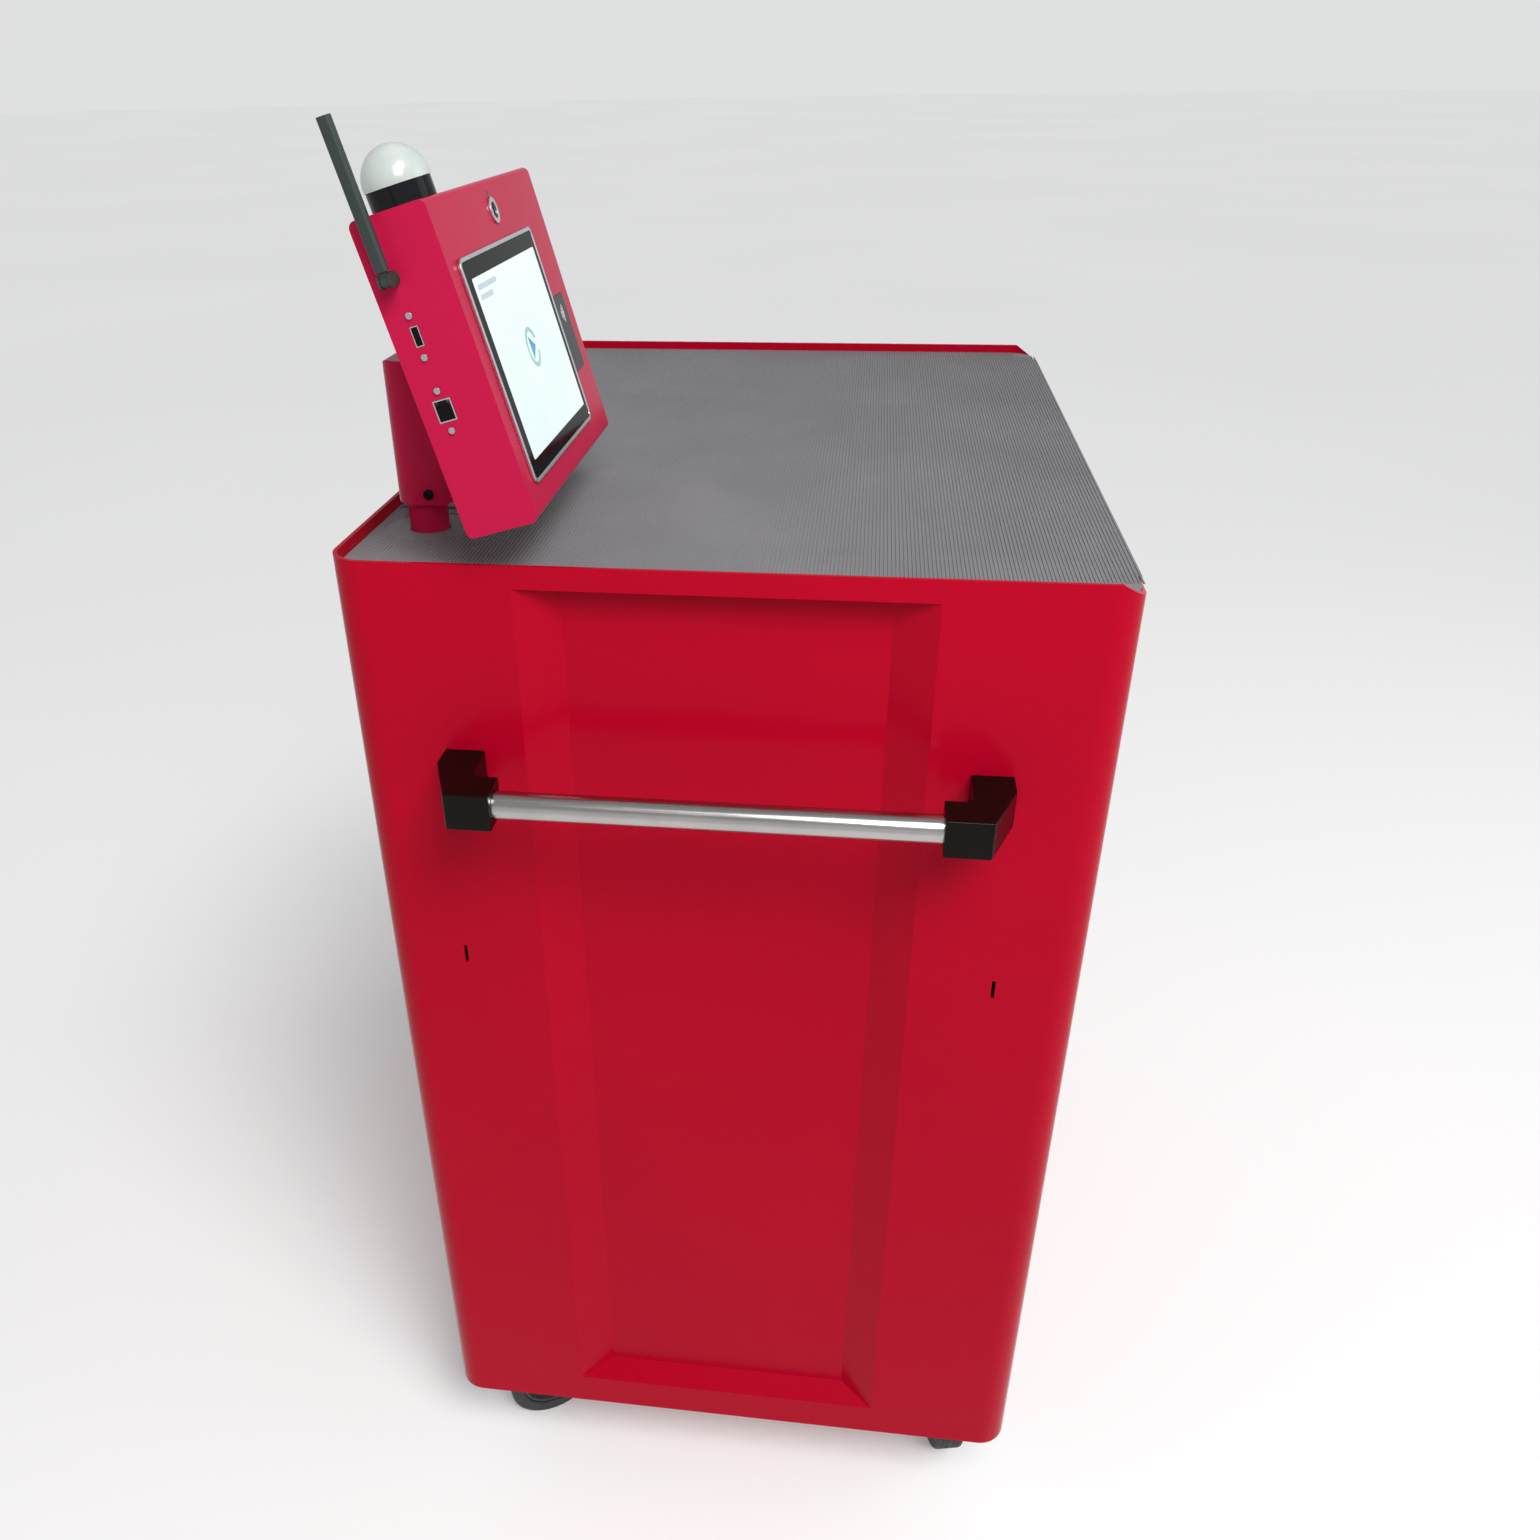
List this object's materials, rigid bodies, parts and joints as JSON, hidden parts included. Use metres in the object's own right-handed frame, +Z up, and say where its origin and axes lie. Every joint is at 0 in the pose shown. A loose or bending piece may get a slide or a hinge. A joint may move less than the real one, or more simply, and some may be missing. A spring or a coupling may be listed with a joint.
{
  "type": "tool cabinet",
  "caption": "Wheeled steel tool cabinet with sliding drawers, a push bar, a ribbed worktop mat and a touch terminal with beacon and antenna on a swivel post.",
  "frame": {"origin": "on the floor, under the middle of the body's footprint", "axes": "+Z up, drawer fronts face -Y, push handle on the -X end"},
  "size_m": [0.9325, 0.603, 1.3828],
  "materials": {
    "red_paint": "gloss powder coat",
    "zinc_steel": "zinc plated",
    "bright_steel": "bright",
    "chrome": "polished",
    "silver_trim": "satin",
    "aluminium": "anodised",
    "black_plastic": "matt",
    "gloss_black": "gloss",
    "screen": "glass front",
    "board": "solder resist",
    "antenna_plastic": "matt",
    "dome": "milky",
    "mat_rubber": "fine ribs",
    "wheel_rubber": "matt"
  },
  "bodies": {
    "cabinet": {"handle_side_panel": "red_paint", "plain_side_panel": "red_paint", "back_panel": "red_paint", "base_pan": "red_paint", "top_pan": "red_paint", "work_mat": "mat_rubber", "runner_uprights": "zinc_steel", "cabinet_slides": "zinc_steel", "handle_bar": "chrome", "handle_bracket_rear": "black_plastic", "handle_bracket_front": "black_plastic", "m8_screws": "bright_steel", "swivel_plates": "zinc_steel", "rigid_forks": "zinc_steel", "rigid_axles": "bright_steel", "lock_actuator": "black_plastic", "battery_box": "black_plastic", "power_inlet": "black_plastic", "swivel_post": "red_paint"},
    "fork_rear": {"swivel_fork_rear": "zinc_steel", "swivel_axle_rear": "bright_steel"},
    "fork_front": {"swivel_fork_front": "zinc_steel", "swivel_axle_front": "bright_steel"},
    "pedal_rear": {"brake_pedal_rear": "black_plastic"},
    "pedal_front": {"brake_pedal_front": "black_plastic"},
    "wheel_swivel_rear": {"swivel_wheel_rear": "wheel_rubber"},
    "wheel_swivel_front": {"swivel_wheel_front": "wheel_rubber"},
    "wheel_rigid_rear": {"rigid_wheel_rear": "wheel_rubber"},
    "wheel_rigid_front": {"rigid_wheel_front": "wheel_rubber"},
    "lock": {"lock_bar": "zinc_steel"},
    "terminal": {"terminal_case": "red_paint", "terminal_back": "red_paint", "screen_frame": "silver_trim", "display_panel": "screen", "main_board": "board", "camera_module": "silver_trim", "reader_window": "gloss_black", "side_ports": "silver_trim", "port_screws": "bright_steel", "beacon_base": "gloss_black", "beacon_dome": "dome", "wedge_bracket": "red_paint", "swivel_lock_screw": "black_plastic"},
    "antenna_stem": {"antenna_base": "antenna_plastic"},
    "antenna": {"antenna_paddle": "antenna_plastic"},
    "drawer_1": {"drawer_1": "red_paint", "drawer_pull_1": "aluminium", "drawer_slides_1": "zinc_steel"},
    "drawer_2": {"drawer_2": "red_paint", "drawer_pull_2": "aluminium", "drawer_slides_2": "zinc_steel"},
    "drawer_3": {"drawer_3": "red_paint", "drawer_pull_3": "aluminium", "drawer_slides_3": "zinc_steel"},
    "drawer_4": {"drawer_4": "red_paint", "drawer_pull_4": "aluminium", "drawer_slides_4": "zinc_steel"},
    "drawer_5": {"drawer_5": "red_paint", "drawer_pull_5": "aluminium", "drawer_slides_5": "zinc_steel"}
  },
  "joints": [
    {"name": "drawer_1_slide", "type": "slide", "parent": "cabinet", "child": "drawer_1", "axis": [0, -1, 0], "range_m": [0, 0.38]},
    {"name": "drawer_2_slide", "type": "slide", "parent": "cabinet", "child": "drawer_2", "axis": [0, -1, 0], "range_m": [0, 0.38]},
    {"name": "drawer_3_slide", "type": "slide", "parent": "cabinet", "child": "drawer_3", "axis": [0, -1, 0], "range_m": [0, 0.38]},
    {"name": "drawer_4_slide", "type": "slide", "parent": "cabinet", "child": "drawer_4", "axis": [0, -1, 0], "range_m": [0, 0.38]},
    {"name": "drawer_5_slide", "type": "slide", "parent": "cabinet", "child": "drawer_5", "axis": [0, -1, 0], "range_m": [0, 0.38]},
    {"name": "caster_rear_swivel", "type": "hinge", "parent": "cabinet", "child": "fork_rear", "pos_m": [-0.365, 0.25, 0.105], "axis": [0, 0, 1], "continuous": true},
    {"name": "caster_rear_spin", "type": "hinge", "parent": "fork_rear", "child": "wheel_swivel_rear", "pos_m": [-0.3475, 0.21969, 0.05], "axis": [0.866, 0.5, 0], "continuous": true},
    {"name": "brake_rear_press", "type": "hinge", "parent": "fork_rear", "child": "pedal_rear", "pos_m": [-0.341, 0.20843, 0.107], "axis": [0.866, 0.5, 0], "range_deg": [0, 14]},
    {"name": "caster_front_swivel", "type": "hinge", "parent": "cabinet", "child": "fork_front", "pos_m": [-0.365, -0.25, 0.105], "axis": [0, 0, 1], "continuous": true},
    {"name": "caster_front_spin", "type": "hinge", "parent": "fork_front", "child": "wheel_swivel_front", "pos_m": [-0.33076, -0.24272, 0.05], "axis": [-0.2079, 0.9781, 0], "continuous": true},
    {"name": "brake_front_press", "type": "hinge", "parent": "fork_front", "child": "pedal_front", "pos_m": [-0.31805, -0.24002, 0.107], "axis": [-0.2079, 0.9781, 0], "range_deg": [0, 14]},
    {"name": "rigid_rear_spin", "type": "hinge", "parent": "cabinet", "child": "wheel_rigid_rear", "pos_m": [0.365, 0.25, 0.05], "axis": [0, 1, 0], "continuous": true},
    {"name": "rigid_front_spin", "type": "hinge", "parent": "cabinet", "child": "wheel_rigid_front", "pos_m": [0.365, -0.25, 0.05], "axis": [0, 1, 0], "continuous": true},
    {"name": "lock_drop", "type": "slide", "parent": "cabinet", "child": "lock", "axis": [0, 0, -1], "range_m": [0, 0.0085]},
    {"name": "terminal_swivel", "type": "hinge", "parent": "cabinet", "child": "terminal", "pos_m": [-0.318, 0.252, 1.0815], "axis": [0, 0, 1], "range_deg": [-90, 90]},
    {"name": "antenna_turn", "type": "hinge", "parent": "terminal", "child": "antenna_stem", "pos_m": [-0.4515, 0.20993, 1.28877], "axis": [1, 0, 0], "range_deg": [-90, 90]},
    {"name": "antenna_fold", "type": "hinge", "parent": "antenna_stem", "child": "antenna", "pos_m": [-0.4645, 0.20993, 1.28877], "axis": [0, -0.9622, 0.2723], "range_deg": [0, 90]}
  ]
}
